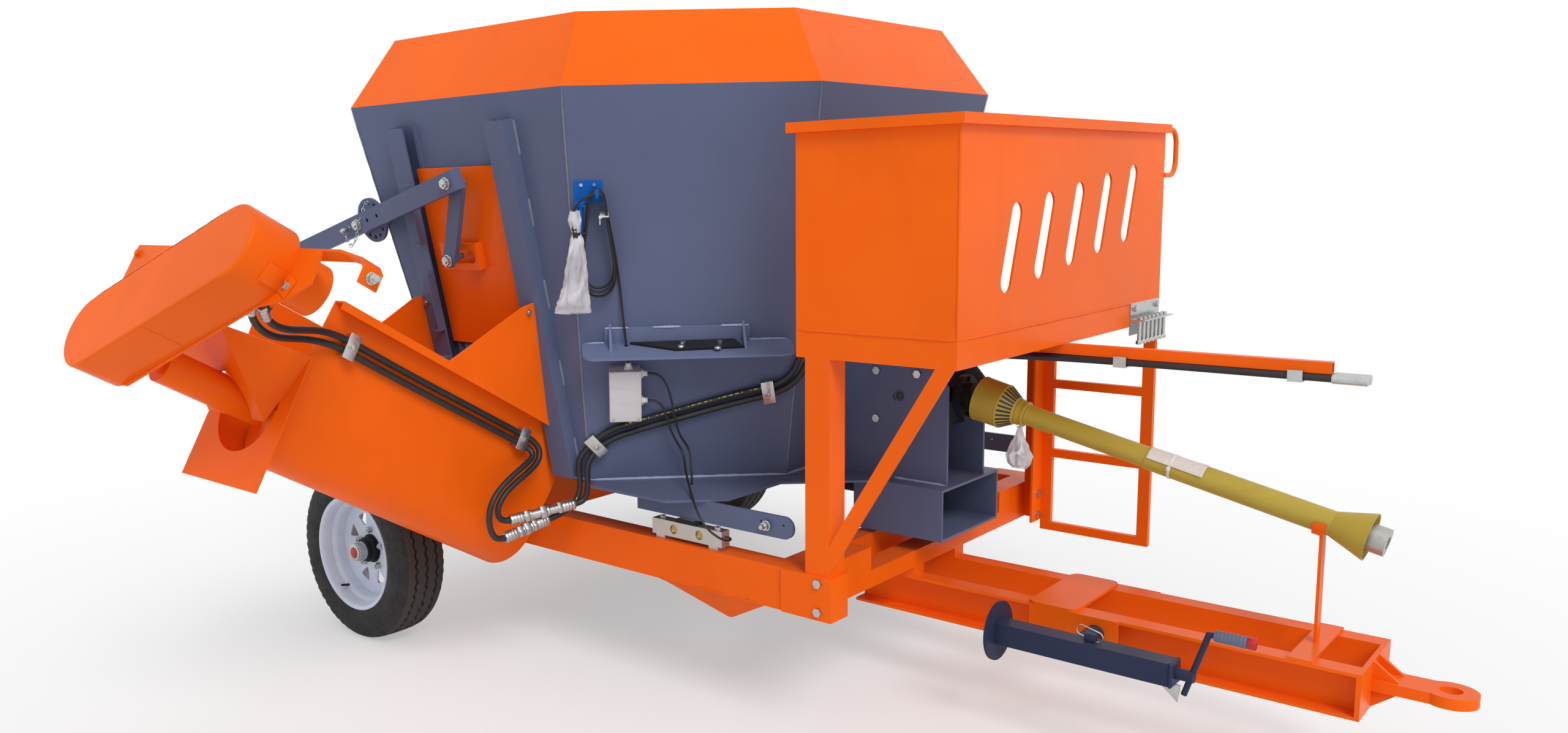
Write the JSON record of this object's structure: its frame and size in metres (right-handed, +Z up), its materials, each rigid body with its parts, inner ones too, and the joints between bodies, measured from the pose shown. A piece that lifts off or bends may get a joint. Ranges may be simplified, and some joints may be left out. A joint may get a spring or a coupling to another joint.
{
  "type": "vertical feed mixer",
  "caption": "Towed vertical feed mixer: an eight-sided tub on load cells with a mixing auger, a sliding door with lever, a side discharge conveyor, a viewing platform and a drawbar.",
  "frame": {"origin": "middle of the machine's footprint box, on the ground under the wheels", "axes": "+X forwards along the drawbar to the tow eye, +Y to the machine's left, +Z up"},
  "size_m": [3.7929, 3.4268, 2.16],
  "materials": {
    "orange_paint": "smooth bright orange enamel",
    "grey_paint": "satin blue-grey enamel",
    "gearbox_paint": "satin black-grey paint",
    "jack_paint": "satin dark blue-grey paint",
    "tyre_rubber": "matte tyre rubber",
    "rim_paint": "white wheel paint",
    "bare_steel": "machined steel",
    "zinc": "zinc-plated steel",
    "guard_plastic": "mustard-yellow moulded plastic",
    "blade_steel": "black scale on steel",
    "box_plastic": "light grey moulded plastic",
    "blue_paint": "gloss blue paint",
    "hose_rubber": "black hose cover",
    "cable_jacket": "black cable jacket",
    "clear_film": "clear plastic film"
  },
  "bodies": {
    "chassis": {"side_beams": "orange_paint", "cross_members": "orange_paint", "drawbar_rails": "orange_paint", "drawbar_saddle": "orange_paint", "tow_eye": "orange_paint", "pto_rest": "orange_paint", "axle_beam": "orange_paint", "platform_posts": "orange_paint", "platform_floor": "orange_paint", "platform_panels": "orange_paint", "platform_rim": "orange_paint", "ladder": "orange_paint", "shear_bolt_rack": "orange_paint", "hose_arm": "orange_paint", "tub_shell": "grey_paint", "spill_ring": "orange_paint", "base_plate": "grey_paint", "load_feet": "grey_paint", "load_cells": "bare_steel", "main_tunnel": "grey_paint", "gearbox_side_plates": "grey_paint", "drop_gearbox": "gearbox_paint", "main_gearbox": "gearbox_paint", "pto_guard": "guard_plastic", "chain_bag": "clear_film", "door_rails": "grey_paint", "index_disc": "grey_paint", "trough": "orange_paint", "trough_wings": "orange_paint", "head_bracket": "orange_paint", "chain_case_plate": "orange_paint", "chain_cover": "orange_paint", "hydraulic_motor": "gearbox_paint", "drive_chain": "bare_steel", "knife_shelf": "grey_paint", "counter_knife": "blade_steel", "junction_box": "box_plastic", "cable_hook": "blue_paint", "hydraulic_hoses": "hose_rubber", "hose_fittings": "zinc", "fasteners": "zinc", "cable_hank": "cable_jacket", "connector_bag": "clear_film", "signal_cables": "cable_jacket"},
    "wheel_right": {"wheel_right": "rim_paint", "tyre_right": "tyre_rubber"},
    "wheel_left": {"wheel_left": "rim_paint", "tyre_left": "tyre_rubber"},
    "mixing_auger": {"mixing_auger": "grey_paint", "auger_knives": "bare_steel"},
    "input_shaft": {"input_shaft": "gearbox_paint"},
    "pto_shaft": {"pto_shaft": "bare_steel"},
    "discharge_auger": {"discharge_auger": "bare_steel"},
    "motor_sprocket": {"motor_sprocket": "bare_steel"},
    "door": {"door": "orange_paint"},
    "lever": {"lever": "grey_paint"},
    "link": {"link": "grey_paint"},
    "jack_tube": {"jack_tube": "jack_paint"},
    "jack_leg": {"jack_leg": "jack_paint"},
    "jack_crank": {"jack_crank": "bare_steel"}
  },
  "joints": [
    {"name": "wheel_right_spin", "type": "hinge", "parent": "chassis", "child": "wheel_right", "pos_m": [-1.3955, -0.40657, 0.325], "axis": [0, 1, 0], "continuous": true},
    {"name": "wheel_left_spin", "type": "hinge", "parent": "chassis", "child": "wheel_left", "pos_m": [-1.3955, 1.60343, 0.325], "axis": [0, 1, 0], "continuous": true},
    {"name": "mixing_auger_spin", "type": "hinge", "parent": "chassis", "child": "mixing_auger", "pos_m": [-0.7855, 0.59843, 0.82], "axis": [0, 0, 1], "continuous": true},
    {"name": "input_shaft_spin", "type": "hinge", "parent": "chassis", "child": "input_shaft", "pos_m": [0.4145, 0.59843, 0.945], "axis": [1, 0, 0], "continuous": true},
    {"name": "pto_shaft_spin", "type": "hinge", "parent": "chassis", "child": "pto_shaft", "pos_m": [0.5245, 0.59843, 0.945], "axis": [0.9736, 0, -0.2284], "continuous": true},
    {"name": "discharge_auger_spin", "type": "hinge", "parent": "chassis", "child": "discharge_auger", "pos_m": [-0.7855, -1.21457, 1.046], "axis": [0, -0.8643, 0.503], "continuous": true},
    {"name": "motor_sprocket_spin", "type": "hinge", "parent": "chassis", "child": "motor_sprocket", "pos_m": [-0.2955, -1.45542, 1.48701], "axis": [0, -0.8643, 0.503], "continuous": true},
    {"name": "door_slide", "type": "slide", "parent": "chassis", "child": "door", "axis": [0, -0.2111, 0.9775], "range_m": [-0.44, 0]},
    {"name": "lever_swing", "type": "hinge", "parent": "chassis", "child": "lever", "pos_m": [-1.2325, -0.47109, 1.53833], "axis": [0, -0.9775, -0.2111], "range_deg": [-47.5, 0]},
    {"name": "link_swing", "type": "hinge", "parent": "lever", "child": "link", "pos_m": [-0.70947, -0.49944, 1.6696], "axis": [0, -0.9775, -0.2111], "range_deg": [0, 54.7]},
    {"name": "jack_swivel", "type": "hinge", "parent": "chassis", "child": "jack_tube", "pos_m": [0.9895, 0.27343, 0.318], "axis": [0, -1, 0], "range_deg": [0, 90]},
    {"name": "jack_leg_slide", "type": "slide", "parent": "jack_tube", "child": "jack_leg", "axis": [-1, 0, 0], "range_m": [0, 0.2]},
    {"name": "jack_crank_spin", "type": "hinge", "parent": "jack_tube", "child": "jack_crank", "pos_m": [1.2745, 0.27343, 0.318], "axis": [1, 0, 0], "continuous": true}
  ],
  "couplings": [
    {"joint": "input_shaft_spin", "follows": "mixing_auger_spin", "ratio": 18},
    {"joint": "pto_shaft_spin", "follows": "mixing_auger_spin", "ratio": 18},
    {"joint": "motor_sprocket_spin", "follows": "discharge_auger_spin", "ratio": 1.6667},
    {"joint": "lever_swing", "follows": "door_slide", "rad_per_m": 1.88},
    {"joint": "link_swing", "follows": "door_slide", "rad_per_m": -2.166}
  ]
}
